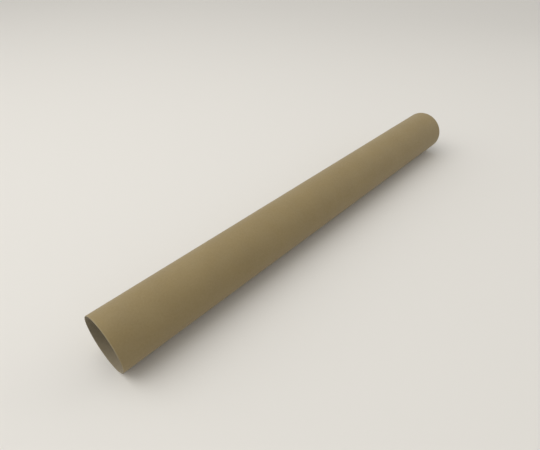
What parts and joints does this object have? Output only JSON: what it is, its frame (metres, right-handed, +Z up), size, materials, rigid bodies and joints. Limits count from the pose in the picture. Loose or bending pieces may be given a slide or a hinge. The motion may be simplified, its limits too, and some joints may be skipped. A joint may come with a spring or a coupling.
{
  "type": "cardboard mailing tube",
  "caption": "Long straight round tube of wound brown board, open at both square-cut ends, for posting and storing rolled sheets.",
  "frame": {"origin": "on the floor, under the middle of the tube as it lies", "axes": "+X along the tube, +Z up; the end that the picture shows open is at -X"},
  "size_m": [0.762, 0.0792, 0.0791],
  "materials": {
    "kraft_board": "matte, smooth, uncoated"
  },
  "bodies": {
    "root": {"tube": "kraft_board"}
  },
  "joints": []
}
